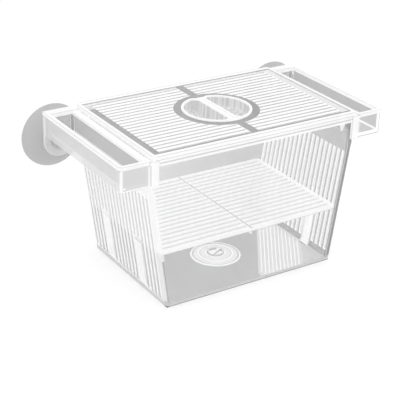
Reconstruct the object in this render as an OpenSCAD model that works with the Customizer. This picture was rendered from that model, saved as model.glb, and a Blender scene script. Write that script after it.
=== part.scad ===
// Fish breeding box: a clear slotted tank that hangs inside an aquarium on two side wings,
// each held to the glass by a suction cup, with a grille lid, a slotted tray and a floor plug.
// Millimetres. X is the width, -Y the front, +Y the aquarium glass, +Z up.
// The origin is the centre of the flat underside of the tank.

/* [Tank] */
// Outer length of the tank at its floor
tank_len_bottom = 132; // [120:1:140]
// Outer length of the tank at its rim, above the sloping part of the end walls
tank_len_top = 157.4; // [150:0.2:166]
// Outer depth of the tank from its front face to its back face
tank_depth = 98; // [90:1:110]
// Height of the tank's rim above its underside
tank_h = 106.7; // [100:0.1:110]
// Height at which the sloping end walls turn upright
taper_h = 86; // [80:1:90]
// Thickness of the tank's walls
wall = 2; // [1.6:0.1:2.6]
// Thickness of the tank's floor
floor_t = 2.2; // [1.8:0.1:3]
// Outer radius of the tank's upright corners
corner_r = 5; // [3.5:0.5:7]
// Outer radius of the edges round the tank's underside
base_r = 4; // [2:0.5:5]
// Thickness of the flange at the top of each end wall, which hangs on the wing
flange_t = 2.2; // [1.6:0.1:3]
// Reach of that flange past the end wall
flange_reach = 4; // [3.2:0.1:5]

/* [End wall slots] */
// Number of upright slots in each end wall
end_slot_count = 19; // [15:2:19]
// Distance from one upright slot to the next
end_slot_pitch = 4.7; // [4.4:0.05:4.8]
// Width of an upright slot
end_slot_w = 2; // [1.4:0.1:2.4]
// Height of the lower ends of the upright slots
end_slot_low = 6.5; // [6:0.5:12]
// Height of the upper ends of the upright slots
end_slot_high = 79; // [70:1:82]

/* [Tray supports] */
// Width of each support rib on the inside of the end walls
rib_w = 8; // [6:0.5:9]
// Distance of a support rib from the middle of its end wall
rib_y = 21.15; // [20:0.05:22]
// Height of the ledge on top of the support ribs
ledge_z = 38.7; // [30:0.1:44]
// Distance a support rib's front face stands inside the foot of the end wall
rib_stand = 0.2; // [0.1:0.1:1]
// Size of the sloping foot of a support rib
rib_foot = 1.4; // [0.8:0.1:2]

/* [Tray] */
// Thickness of the tray
tray_t = 2; // [1.6:0.1:3]
// Number of slots in the tray
tray_slot_count = 17; // [11:2:17]
// Width of the plain strip along the tray's front and back edges
tray_edge = 4; // [3:0.1:6]
// Width of a tray slot
tray_slot_w = 2; // [1.2:0.1:2.6]
// Width of the plain rail across each end of the tray
tray_rail = 3; // [2:0.5:6]
// Width of the stiffening rib under the middle of the tray
tray_rib_w = 1.2; // [0.8:0.1:3]
// Depth of that rib below the tray
tray_rib_h = 2.4; // [1:0.1:5]

/* [Lid] */
// Thickness of the lid's plate
lid_t = 1.8; // [1.4:0.1:2.6]
// Distance of the lid's ends inside the outer faces of the tank's end walls
lid_inset = 0.9; // [0.4:0.1:1.5]
// Overhang of the lid past the tank's front face and back face
lid_overhang = 2.6; // [2.2:0.1:3.4]
// Radius of the lid's corners
lid_corner_r = 4; // [2:0.5:6]
// Depth of the lid's front and back skirts below its underside
lid_skirt_h = 4; // [2:0.5:8]
// Thickness of the lid's skirts
lid_skirt_t = 1.8; // [1.2:0.1:2]
// Height of the bead along the lower edge of the skirts
skirt_bead_h = 1.9; // [1:0.1:3]
// Thickness of that bead
skirt_bead_t = 0.5; // [0.3:0.1:0.8]
// Width of the raised border along the lid's ends
lid_border_w = 2.6; // [1.2:0.1:3.2]
// Width of the raised border along the lid's front and back
lid_border_d = 4.2; // [2:0.1:5]
// Height of the raised border above the lid's plate
lid_border_h = 0.7; // [0.3:0.1:1.5]
// Number of slots across the lid on each side of its middle band
lid_slot_count = 20; // [14:1:20]
// Width of the plain strip along the lid's front and back, inside its border
lid_side_strip = 2.6; // [2:0.1:5]
// Width of a lid slot
lid_slot_w = 1.7; // [1.2:0.1:2.2]
// Width of the plain strip along each end of the lid, inside its border
lid_end_strip = 5.2; // [3:0.1:8]
// Width of the plain band across the middle of the lid
lid_band = 6; // [4:0.5:10]
// Width of a locating lug under the lid
lug_w = 3.4; // [2.5:0.1:5]
// Thickness of a locating lug
lug_t = 1.8; // [1.2:0.1:2.4]
// Length of a locating lug below the lid's plate
lug_h = 15; // [8:0.5:16]
// Length of the pointed tip of a locating lug
lug_tip = 5; // [3:0.5:7]
// Distance of the lugs from the middle of the lid's end
lug_y = 39; // [20:1:40]

/* [Finger grip] */
// Radius of the round plain area in the middle of the lid
grip_area_r = 28.6; // [25.6:0.2:30]
// Outer radius of the pair of finger wells
grip_r = 23.5; // [20:0.5:24.5]
// Width of the upstanding rim round each finger well
grip_rim = 1.7; // [1.2:0.1:2.4]
// Height of that rim above the lid's plate
grip_rim_h = 0.9; // [0.4:0.1:2]
// Depth of the finger wells below the top of their rims
grip_depth = 9; // [6:0.5:12]
// Thickness of the floors of the finger wells
grip_floor_t = 1.6; // [1.2:0.1:2.4]
// Outer radius of the corners of the finger wells
grip_corner_r = 5.5; // [4:0.5:7]
// Width of the pinch bar between the finger wells, with both rims
grip_bar = 5.6; // [4.5:0.1:7]

/* [Floor plug] */
// Distance of the plug's axis in front of the middle of the floor
plug_front = 4; // [0:0.5:10]
// Radius of the plug's flange, which is sunk in the floor
plug_r = 17.3; // [15:0.1:19]
// Thickness of the plug's flange
plug_t = 0.9; // [0.7:0.1:1.2]
// Width of the raised bead round the flange
plug_bead_w = 1.4; // [1:0.1:2]
// Height of that bead above the flange
plug_bead_h = 0.7; // [0.3:0.1:1]
// Rise of the plug's domed top above the flange
plug_dome = 1.5; // [0.8:0.1:2]
// Radius of the plug's neck in the floor
plug_neck_r = 12.5; // [10:0.5:13.5]
// Radius of the knob
plug_knob_r = 6.2; // [5:0.1:8]
// Height of the knob above the flange
plug_knob_h = 2.6; // [2.2:0.1:4]
// Depth of the hollow in the knob
plug_pit = 1.7; // [1:0.1:2]
// Thickness of the knob's wall
plug_knob_wall = 1.3; // [1:0.1:1.6]
// Width of the grip bar across the knob
plug_bar_w = 2; // [1.5:0.1:3]
// Angle of the grip bar from the X axis
plug_bar_turn = 28; // [0:1:90]

/* [Wings] */
// Width of a wing from its inner face to its outer face
wing_w = 21.4; // [18:0.1:25]
// Height of the underside of the wings
wing_z = 90.4; // [88:0.1:92]
// Height of the top of the wings
wing_top = 107.3; // [106.8:0.1:109]
// Thickness of the wings' walls
wing_wall = 2; // [1.6:0.1:2.4]
// Radius of the wings' upright front corner
wing_corner_r = 2.4; // [1:0.1:3.2]
// Thickness of the bead round the top of the wings
bead_t = 0.8; // [0.4:0.1:1.2]
// Height of that bead
bead_h = 2.6; // [1.5:0.1:4]
// Distance of the wings' front face from the tank's front face
wing_front = 1.7; // [1.2:0.1:3]
// Distance of the wings' back face from the tank's back face
wing_back = 4.9; // [3.5:0.1:6]
// Thickness of the wings' back plate, which carries the suction cup
plate_t = 2.2; // [1.8:0.1:3]
// Reach of the clips that grip the front and back of the tank at its corners
clip_reach = 4.8; // [4:0.1:6]
// Thickness of those clips
clip_t = 2; // [1.6:0.1:3]
// Radius of the round lug at the bottom of the back plate
lug_r = 10.9; // [9:0.1:12]

/* [Suction cups] */
// Radius of the rim of a suction cup
cup_r = 22; // [18:0.5:24]
// Height of the suction cups' axis
cup_z = 85.5; // [84:0.1:87]
// Distance from the back plate to the plane of the cup's rim
cup_h = 10; // [8:0.5:14]
// Thickness of the cup's wall near its neck
cup_wall = 2.6; // [2:0.1:3.4]
// Width of the flat lip round the cup's rim
cup_lip = 0.9; // [0.6:0.1:1.5]
// Width of the cup's shoulder round its neck
cup_shoulder_w = 3.4; // [2:0.1:5]
// Thickness of the cup's shoulder before it flares out
cup_shoulder_t = 0.6; // [0.4:0.1:1.5]
// Curve of the cup's back, where 1 is straight
cup_flare = 1.7; // [1.2:0.1:2.4]
// Curve of the cup's hollow, where 1 is straight
cup_bowl = 0.62; // [0.5:0.02:0.9]
// Radius of the neck in the back plate
neck_r = 3.2; // [2.5:0.1:4]
// Radius of the button head inside the back plate
head_r = 5.4; // [4.6:0.1:6]
// Thickness of the button head
head_t = 2.6; // [2:0.1:4]
// Bevel of the button head
head_bevel = 0.8; // [0.4:0.1:1.2]

/* [Clearances] */
// Gap between pieces that lift or slide apart
gap = 0.3; // [0.2:0.05:0.4]
// Gap between the tray's edges and the tank's walls
tray_gap = 0.4; // [0.3:0.05:0.6]
// Radial running gap of a suction cup's neck in its hole
neck_gap = 0.08; // [0.02:0.01:0.1]

/* [Hidden] */
$fn = 64;

// Overshoot of a cut past the face it opens
cut = 1;
// Size larger than the whole object, for half spaces
far = 400;
// Depth by which a round corner's circle passes the walls that it rounds
corner_bite = 0.02;
// Difference in the corners' radius between the sloping and the upright part of the tank
corner_step = 0.3;

half_bottom = tank_len_bottom / 2;
half_top = tank_len_top / 2;
half_depth = tank_depth / 2;
taper = atan((half_top - half_bottom) / taper_h);
// Horizontal thickness of a sloping end wall
wall_x = wall / cos(taper);

// Height at which the inner face of an end wall turns upright
inner_taper_h = taper_h + wall * tan(taper / 2);

// Half length of the outside of the tank at a height
function half_len(z) = z < taper_h ? half_bottom + z * tan(taper) : half_top;
inner_half_top = half_top - wall;
inner_half_depth = half_depth - wall;

lid_z = tank_h + gap;
lid_top = lid_z + lid_t;
lid_half_len = half_top - lid_inset;
lid_half_depth = half_depth + lid_overhang;
lid_slot_half = lid_half_depth - lid_border_d - lid_side_strip - lid_slot_w / 2;
lid_slot_pitch = 2 * lid_slot_half / (lid_slot_count - 1);
well_top = lid_top + grip_rim_h;
well_floor = well_top - grip_depth;

tray_z = ledge_z + gap;
tray_half_len = half_len(tray_z) - wall_x - tray_gap;
tray_half_depth = inner_half_depth - tray_gap;
tray_slot_half = tray_half_len - tray_rail;
tray_slot_pitch = 2 * (tray_half_depth - tray_edge - tray_slot_w / 2) / (tray_slot_count - 1);

plug_z = floor_t - plug_t;
plug_ledge = plug_z - gap;
plug_hole_r = plug_neck_r + gap;

// Side room of a cup's head in its pocket
head_play = 0.2;
pocket_t = head_t + 2 * head_play;
wing_y_front = half_depth + wing_front;
wing_y_back = half_depth + wing_back;
trough_y_back = wing_y_back - plate_t - pocket_t - wing_wall;
wing_in = half_top + gap;
wing_out = wing_in + wing_w;
flange_half = trough_y_back - gap;
cup_x = wing_out - lug_r;
clip_in = half_top - clip_reach;
// Length over which a clip backs onto its wing
clip_root = 1.5;
plate_inner = wing_y_back - plate_t;

// Clear plastic, and the tinted soft plastic of the cups
clear = [0.90, 0.92, 0.93, 0.45];
edge = [0.97, 0.98, 0.99, 0.7];
soft = [0.72, 0.73, 0.74, 0.8];

// Copies of a shape mirrored across the X plane, the Y plane or both
module both_x() {
  children();
  mirror([1, 0, 0]) children();
}
module both_y() {
  children();
  mirror([0, 1, 0]) children();
}

// Flat rectangle with round corners, centred
module round_rect(len, depth, r) {
  square([len - 2 * r, depth], center = true);
  square([len, depth - 2 * r], center = true);
  both_x() both_y() translate([len / 2 - r, depth / 2 - r]) circle(r);
}

// Outline of the tank from the front: sloping ends that turn upright at kz, where half its length
// is ht, and round lower corners. hb is half its length at the bottom.
module end_outline(hb, ht, kz, h, r) {
  cx = hb - r * (1 - sin(taper)) / cos(taper);
  tx = cx + r * cos(taper);
  tz = r * (1 - sin(taper));
  polygon([[cx, 0], [tx, tz], [ht, kz], [ht, h], [-ht, h], [-ht, kz], [-tx, tz], [-cx, 0]]);
  both_x() translate([cx, r]) circle(r);
}

// Outline of the tank from the side: upright, with round lower corners
module side_outline(hd, h, r) {
  polygon([[hd - r, 0], [hd, r], [hd, h], [-hd, h], [-hd, r], [r - hd, 0]]);
  both_x() translate([hd - r, r]) circle(r);
}

// What a round upright corner of radius r leaves out of a square one, between two heights
module corner_waste(r, low, high) {
  translate([0, 0, low])
    linear_extrude(high - low)
      difference() {
        translate([-r, -r]) square(r + cut);
        translate([corner_bite - r, corner_bite - r]) circle(r);
      }
}

// Solid with the tank's tapered form, standing at z = 0. The corners are a little sharper above
// the height kz at which the end walls turn upright.
module tank_form(hb, kz, hd, h, r_up, r_low) {
  ht = hb + kz * tan(taper);
  difference() {
    intersection() {
      rotate([90, 0, 0])
        linear_extrude(2 * hd, center = true)
          end_outline(hb, ht, kz, h, r_low);
      rotate([90, 0, 90])
        linear_extrude(2 * ht + cut, center = true)
          side_outline(hd, h, r_low);
    }
    both_x() both_y() translate([ht, hd, kz]) {
      intersection() {
        rotate([0, taper, 0]) corner_waste(r_up, -kz / cos(taper) - cut, r_up);
        translate([-far / 2, -far / 2, -far]) cube(far);
      }
      corner_waste(r_up - corner_step, 0, h - kz + cut);
    }
  }
}

// Upright slot through the right-hand end wall, with round ends, from one height to another
module end_slot(y, low, high) {
  r = end_slot_w / 2;
  translate([half_bottom - base_r - wall, y, 0])
    rotate([90, 0, 90])
      linear_extrude(half_top - half_bottom + base_r + 2 * wall) {
        translate([-r, low + r]) square([end_slot_w, high - low - end_slot_w]);
        translate([0, low + r]) circle(r);
        translate([0, high - r]) circle(r);
      }
}

// Slots of one end wall. Those in line with a support rib start above its ledge.
module end_slots() {
  for (i = [0 : end_slot_count - 1]) {
    y = (i - (end_slot_count - 1) / 2) * end_slot_pitch;
    behind_rib = abs(abs(y) - rib_y) < (rib_w + end_slot_w) / 2;
    end_slot(y, behind_rib ? ledge_z + tray_t + wall : end_slot_low, end_slot_high);
  }
}

// Ribs on the inside of the right-hand end wall, upright in front, with a ledge for the tray
module support_ribs() {
  face = half_bottom - wall_x - rib_stand;
  both_y() translate([0, rib_y + rib_w / 2, 0])
    rotate([90, 0, 0])
      linear_extrude(rib_w)
        polygon([
          [face - rib_foot, floor_t / 2],
          [face - rib_foot, floor_t + rib_foot],
          [face, floor_t + 2 * rib_foot],
          [face, ledge_z],
          [half_len(ledge_z) - wall_x / 2, ledge_z],
          [half_len(floor_t) - wall_x / 2, floor_t / 2]
        ]);
}

// Flange along the top of the right-hand end wall
module end_flange() {
  translate([half_top - wall / 2, -flange_half, tank_h - flange_t])
    cube([wall / 2 + flange_reach, 2 * flange_half, flange_t]);
}

module tank_body() {
  inner_r = corner_r - wall;
  inner_low = base_r - wall;
  color(clear)
    difference() {
      union() {
        difference() {
          tank_form(half_bottom, taper_h, half_depth, tank_h, corner_r, base_r);
          translate([0, 0, floor_t])
            tank_form(half_len(floor_t) - wall_x, inner_taper_h - floor_t, inner_half_depth,
                      tank_h, inner_r, inner_low);
          both_x() end_slots();
        }
        both_x() support_ribs();
        both_x() end_flange();
      }
      translate([0, -plug_front, -cut]) cylinder(h = floor_t + 2 * cut, r = plug_hole_r);
      translate([0, -plug_front, plug_ledge]) cylinder(h = floor_t, r = plug_r + gap);
    }
}

// Tray: slats along X between two end rails, on the ledges of the support ribs
module slotted_tray() {
  color(edge) {
    difference() {
      translate([0, 0, tray_z])
        linear_extrude(tray_t)
          round_rect(2 * tray_half_len, 2 * tray_half_depth, corner_r - wall);
      for (i = [0 : tray_slot_count - 1])
        both_x() translate([
            tray_rib_w / 2,
            (i - (tray_slot_count - 1) / 2) * tray_slot_pitch - tray_slot_w / 2,
            tray_z - cut
          ])
          cube([tray_slot_half - tray_rib_w / 2, tray_slot_w, tray_t + 2 * cut]);
    }
    translate([-tray_rib_w / 2, -tray_half_depth, tray_z - tray_rib_h])
      cube([tray_rib_w, 2 * tray_half_depth, tray_rib_h + tray_t / 2]);
  }
}

// D-shaped outline to the right of X = 0, from a flat side at x = a to a round one of radius R,
// with its two corners rounded to r
module d_outline(a, R, r) {
  cy = sqrt(pow(R - r, 2) - pow(a + r, 2));
  intersection() {
    circle(R);
    polygon([[0, 0], far * [a + r, -cy] / R, [far, -far], [far, far], far * [a + r, cy] / R]);
    translate([a, -far / 2]) square(far);
  }
  translate([a, -cy]) square([r, 2 * cy]);
  both_y() translate([a + r, cy]) circle(r);
}

// Bowl on a D outline, from low to high, whose curved wall runs into its floor with a fillet
module well_form(a, R, r, low, high) {
  intersection() {
    translate([0, 0, low]) linear_extrude(high - low) d_outline(a, R, r);
    rotate_extrude()
      polygon([
        [0, low - cut],
        [R - r, low - cut],
        for (t = [0 : 15 : 90]) [R - r + r * sin(t), low + r * (1 - cos(t))],
        [R + cut, low + r],
        [R + cut, high + cut],
        [0, high + cut]
      ]);
  }
}

// Slots of the right-hand half of the lid, which stop at the round plain area
module lid_slots() {
  slot_end = lid_half_len - lid_border_w - lid_end_strip;
  difference() {
    for (i = [0 : lid_slot_count - 1])
      translate([
          lid_band / 2,
          (i - (lid_slot_count - 1) / 2) * lid_slot_pitch - lid_slot_w / 2,
          lid_z - cut
        ])
        cube([slot_end - lid_band / 2, lid_slot_w, lid_t + 2 * cut]);
    translate([0, 0, lid_z - 2 * cut]) cylinder(h = lid_t + 4 * cut, r = grip_area_r, $fn = 120);
  }
}

// Pointed lug under the lid, just inside the tank's right-hand end wall
module locating_lug() {
  translate([inner_half_top - gap, lug_y, lid_z])
    rotate([90, 0, -90])
      linear_extrude(lug_t)
        polygon([
          [-lug_w / 2, lid_t / 2],
          [-lug_w / 2, lug_tip - lug_h],
          [0, -lug_h],
          [lug_w / 2, lug_tip - lug_h],
          [lug_w / 2, lid_t / 2]
        ]);
}

// Section of the back skirt, with a bead along its lower edge
module skirt_profile() {
  face = lid_half_depth - skirt_bead_t;
  low = lid_z - lid_skirt_h;
  polygon([
    [lid_half_depth - lid_skirt_t, low],
    [lid_half_depth, low],
    [lid_half_depth, low + skirt_bead_h],
    [face, low + skirt_bead_h],
    [face, lid_z + lid_t / 2],
    [lid_half_depth - lid_skirt_t, lid_z + lid_t / 2]
  ]);
}

module lid() {
  in_len = 2 * (lid_half_len - lid_border_w);
  in_depth = 2 * (lid_half_depth - lid_border_d);
  skirt_len = 2 * (clip_in - 2 * gap);
  bar = grip_bar / 2;
  color(clear) {
    difference() {
      union() {
        difference() {
          translate([0, 0, lid_z])
            linear_extrude(lid_t + lid_border_h)
              round_rect(2 * lid_half_len, 2 * lid_half_depth, lid_corner_r);
          translate([0, 0, lid_top])
            linear_extrude(lid_border_h + cut)
              round_rect(in_len, in_depth, lid_corner_r - lid_border_w);
          both_x() lid_slots();
        }
        both_x() well_form(bar - grip_rim, grip_r, grip_corner_r, well_floor - grip_floor_t, well_top);
      }
      both_x() well_form(bar, grip_r - grip_rim, grip_corner_r - grip_rim, well_floor, well_top + cut);
    }
    both_y() rotate([90, 0, 90])
      linear_extrude(skirt_len, center = true)
        skirt_profile();
    both_x() both_y() locating_lug();
  }
}

// Floor plug: a flange sunk in the floor, a neck in the hole, a low dome and a hollow knob
module floor_plug() {
  dome_r = plug_r - plug_bead_w - gap;
  dome_rise = dome_r - plug_knob_r;
  knob_z = floor_t + plug_knob_h;
  color(clear) translate([0, -plug_front, 0]) {
    difference() {
      rotate_extrude($fn = 96)
        polygon([
          [0, 0],
          [plug_neck_r - gap, 0],
          [plug_neck_r, gap],
          [plug_neck_r, plug_z],
          [plug_r, plug_z],
          [plug_r, floor_t + plug_bead_h / 2],
          [plug_r - plug_bead_w / 2, floor_t + plug_bead_h],
          [plug_r - plug_bead_w, floor_t],
          for (t = [0 : 15 : 75]) [plug_knob_r + dome_rise * cos(t), floor_t + plug_dome * sin(t)],
          [plug_knob_r, floor_t + plug_dome],
          [plug_knob_r - gap, knob_z],
          [0, knob_z]
        ]);
      translate([0, 0, knob_z - plug_pit])
        cylinder(h = plug_pit + cut, r = plug_knob_r - plug_knob_wall);
    }
    rotate([0, 0, plug_bar_turn])
      translate([plug_knob_wall / 2 - plug_knob_r, -plug_bar_w / 2, knob_z - plug_pit - plug_bead_h])
        cube([2 * plug_knob_r - plug_knob_wall, plug_bar_w, plug_pit + plug_bead_h]);
  }
}

// Flat outline of the right-hand wing, with a round front corner. The bead is grown by its thickness.
module wing_outline(grow) {
  r = wing_corner_r + grow;
  x = wing_out - bead_t + grow;
  front = bead_t - wing_y_front - grow;
  translate([wing_in, front + r]) square([x - wing_in, wing_y_back - front - r]);
  translate([wing_in, front]) square([x - r - wing_in, r]);
  translate([x - r, front + r]) circle(r);
}

// Right-hand wing: an open trough that grips the tank's corners, with a lug for the cup
module wing() {
  wall_out = wing_out - bead_t;
  trough_in = wing_in + wing_wall;
  difference() {
    union() {
      // Walls and floor of the trough
      translate([0, 0, wing_z])
        linear_extrude(wing_top - wing_z)
          wing_outline(0);
      // Bead round its top
      translate([0, 0, wing_top - bead_h])
        linear_extrude(bead_h)
          wing_outline(bead_t);
      // Back plate with the round lug
      translate([wing_in, plate_inner, wing_z])
        cube([wing_out - wing_in, plate_t, wing_top - wing_z]);
      translate([cup_x, plate_inner, cup_z])
        rotate([-90, 0, 0]) cylinder(h = plate_t, r = lug_r);
      translate([cup_x - lug_r, plate_inner, cup_z])
        cube([2 * lug_r, plate_t, wing_z - cup_z + cut]);
      // Clips along the front and back of the tank's corner
      translate([clip_in, -half_depth - gap - clip_t, wing_z])
        cube([wing_in - clip_in + clip_root, clip_t, tank_h - wing_z]);
      translate([clip_in, half_depth + gap, wing_z])
        cube([wing_in - clip_in + clip_root, clip_t, tank_h - wing_z]);
    }
    // Hollow of the trough
    translate([trough_in, bead_t + wing_wall - wing_y_front, wing_z + wing_wall])
      cube([wall_out - wing_wall - trough_in, trough_y_back + wing_y_front - wing_wall - bead_t, far]);
    // Room for the tank's end flange over the inner wall
    translate([wing_in - cut, -flange_half - gap, tank_h - flange_t - gap])
      cube([flange_reach + cut, 2 * (flange_half + gap), far]);
    // Space for the cup's head between the back wall and the plate, open below
    translate([trough_in, plate_inner - pocket_t, wing_z - cut])
      cube([wall_out - wing_wall - trough_in, pocket_t, wing_top - wing_wall - wing_z + cut]);
    // Hole for the cup's neck
    translate([cup_x, plate_inner - cut, cup_z])
      rotate([-90, 0, 0]) cylinder(h = plate_t + 2 * cut, r = neck_r + neck_gap);
  }
}

module left_wing() {
  color(clear) mirror([1, 0, 0]) wing();
}

module right_wing() {
  color(clear) wing();
}

// Suction cup on the right-hand wing: a button head, a neck and a flexible dish
module suction_cup() {
  shoulder = head_play + cup_shoulder_t;
  root_r = neck_r + cup_shoulder_w;
  // Distance along the axis, from the plate's outer face, of the dish's back at a radius
  function back(r) =
    shoulder + (cup_h - cup_lip - shoulder) * pow((r - root_r) / (cup_r - root_r), cup_flare);
  function hollow(r) = cup_h - (cup_h - shoulder - cup_wall) * pow(1 - r / (cup_r - cup_lip), cup_bowl);
  neck_in = -plate_t - head_play;
  translate([cup_x, wing_y_back, cup_z])
    rotate([-90, 0, 0])
      rotate_extrude($fn = 96)
        polygon([
          [0, neck_in - head_t],
          [head_r - head_bevel, neck_in - head_t],
          [head_r, neck_in - head_t + head_bevel],
          [head_r, neck_in],
          [neck_r, neck_in],
          [neck_r, head_play],
          [root_r, head_play],
          for (i = [0 : 6]) let (r = root_r + (cup_r - root_r) * i / 6) [r, back(r)],
          [cup_r, cup_h],
          for (i = [8 : -1 : 0]) let (r = (cup_r - cup_lip) * i / 8) [r, hollow(r)]
        ]);
}

module left_suction_cup() {
  color(soft) mirror([1, 0, 0]) suction_cup();
}

module right_suction_cup() {
  color(soft) suction_cup();
}

tank_body();
lid();
slotted_tray();
floor_plug();
left_wing();
right_wing();
left_suction_cup();
right_suction_cup();
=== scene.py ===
"""Finishes of the fish breeding box: clear moulded plastic with painted light and shade, soft
suction cups and a pale studio.
"""

import math

import bmesh
import bpy
from mathutils import Matrix, Vector


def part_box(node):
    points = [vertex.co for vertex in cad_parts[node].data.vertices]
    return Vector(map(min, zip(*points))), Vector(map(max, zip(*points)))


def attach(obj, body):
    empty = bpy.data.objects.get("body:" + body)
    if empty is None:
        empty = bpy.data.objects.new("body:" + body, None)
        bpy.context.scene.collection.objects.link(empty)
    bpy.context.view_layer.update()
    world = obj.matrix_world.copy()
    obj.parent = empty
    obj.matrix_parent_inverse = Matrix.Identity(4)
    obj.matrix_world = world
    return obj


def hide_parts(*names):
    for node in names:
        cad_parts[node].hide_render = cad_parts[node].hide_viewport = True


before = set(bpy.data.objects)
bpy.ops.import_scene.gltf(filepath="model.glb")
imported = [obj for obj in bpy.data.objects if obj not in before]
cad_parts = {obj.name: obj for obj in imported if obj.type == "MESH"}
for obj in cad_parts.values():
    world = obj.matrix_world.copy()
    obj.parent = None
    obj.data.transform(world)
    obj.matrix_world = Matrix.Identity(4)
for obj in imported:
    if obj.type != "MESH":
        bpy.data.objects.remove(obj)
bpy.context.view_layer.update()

bl_info = {
    "name": "Fish Breeding Box Finishes",
    "version": (1, 0, 0),
    "blender": (4, 5, 0),
    "location": "View3D > Sidebar > Breeding Box",
    "description": "Gives the packed fish breeding box its clear plastic, soft cups and studio",
    "category": "Object",
}

MM = 0.001
# Further than any part of the box reaches, in millimetres
FAR_MM = 1000.0
# Edges that turn more than this are sharp
SHARP = math.radians(35.0)

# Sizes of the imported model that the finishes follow, in millimetres
TANK_HIGH = [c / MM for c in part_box("tank_body")[1]]
LID_LOW, LID_HIGH = [[c / MM for c in corner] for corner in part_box("lid")]
TRAY_LOW, TRAY_HIGH = [[c / MM for c in corner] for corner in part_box("slotted_tray")]
PLUG_LOW, PLUG_HIGH = [[c / MM for c in corner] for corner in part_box("floor_plug")]
WING_LOW, WING_HIGH = [[c / MM for c in corner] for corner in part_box("right_wing")]
CUP_LOW, CUP_HIGH = [[c / MM for c in corner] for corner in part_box("right_suction_cup")]

# Tank: its end walls lean out up to the bend and are upright above it, and no part of them is
# nearer the middle than END_WALLS_X
WALL = 2.0
FLANGE_REACH, FLANGE_LOW = 4.0, 104.0
TANK_HALF_TOP, TANK_HALF_BOTTOM = TANK_HIGH[0] - FLANGE_REACH, 66.0
TANK_HALF_DEPTH = TANK_HIGH[1]
TANK_BEND = 86.0
END_WALLS_X = 60.0
FLOOR_TOP = 2.2
SLOTS_LOW, SLOTS_HIGH = 6.5, 79.0
TANK_SLOT_PITCH, TANK_SLOTS_Y = 4.7, 44.4
RIB_INNER, RIB_OUTER, RIB_TOP = 17.15, 25.15, 38.7
# How far the painted reflection streaks on the floor go back for each millimetre to the right
REFLECTION_SLOPE = 1.5

# Tray and lid
TRAY_TOP = TRAY_HIGH[2]
TRAY_UNDERSIDE = TRAY_TOP - 2.0
TRAY_SLOTS_Y = 44.0
LID_RIM = LID_HIGH[2]
LID_PLATE = LID_RIM - 0.9
LID_SLOT_END, LID_SLOTS_Y = 70.0, 44.8
LID_BORDER_X, LID_BORDER_Y = 75.2, 47.4
LID_BAND = 3.0
WELL_R, RING_R = 23.4, 28.6

# Wings: the trough between its inner and outer wall, and the bead round its top
WING_UNDERSIDE = WING_LOW[2] + 15.8
WING_FLOOR = WING_UNDERSIDE + WALL
TROUGH_INNER, TROUGH_OUTER = WING_LOW[0] + 7.1, WING_HIGH[0] - 2.8
BEAD_LOW = 104.7

# Suction cups: their axis in millimetres, and in metres the wing's plate that the neck goes
# through, the play there, the button head and the rounding of the edges
CUP_AXIS = ((CUP_LOW[0] + CUP_HIGH[0]) / 2, (CUP_LOW[2] + CUP_HIGH[2]) / 2)
CUP_PLATE, CUP_PLAY = 0.0022, 0.0002
HEAD_THICKNESS, HEAD_ROUND = 0.0026, 0.0008
CUP_EDGE_ROUND = 0.00025


class StudioSettings(bpy.types.PropertyGroup):
    """The camera, the lights and the floor."""

    azimuth: bpy.props.FloatProperty(
        name="Azimuth", description="Angle of the camera to the left of the box's front",
        default=math.radians(33.69), subtype="ANGLE")
    elevation: bpy.props.FloatProperty(
        name="Elevation", description="Angle of the camera above the horizon",
        default=math.radians(24.70), subtype="ANGLE")
    roll: bpy.props.FloatProperty(
        name="Roll", description="Turn of the camera about its own axis",
        default=math.radians(1.79), subtype="ANGLE")
    distance: bpy.props.FloatProperty(
        name="Distance", description="Distance from the camera to the middle of the box",
        default=0.8046, unit="LENGTH")
    target_height: bpy.props.FloatProperty(
        name="Target height", description="Height of the point that the camera looks at",
        default=0.05474, unit="LENGTH")
    lens: bpy.props.FloatProperty(
        name="Lens", description="Focal length of the camera", default=106.89,
        subtype="DISTANCE_CAMERA")
    shift_x: bpy.props.FloatProperty(
        name="Shift X", description="Sideways shift of the frame", default=-0.0359)
    shift_y: bpy.props.FloatProperty(
        name="Shift Y", description="Upward shift of the frame", default=-0.0419)
    sky: bpy.props.FloatProperty(
        name="Sky", description="Strength of the even light from all round", default=1.05,
        min=0.0)
    key_power: bpy.props.FloatProperty(
        name="Key power", description="Power of the large soft light above the box",
        default=0.9, unit="POWER")
    fill_power: bpy.props.FloatProperty(
        name="Fill power", description="Power of the soft light from the right", default=0.3,
        unit="POWER")
    floor_colour: bpy.props.FloatVectorProperty(
        name="Floor colour", description="Colour of the floor", size=3, subtype="COLOR",
        default=(0.93, 0.93, 0.93), min=0.0, max=1.0)


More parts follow.
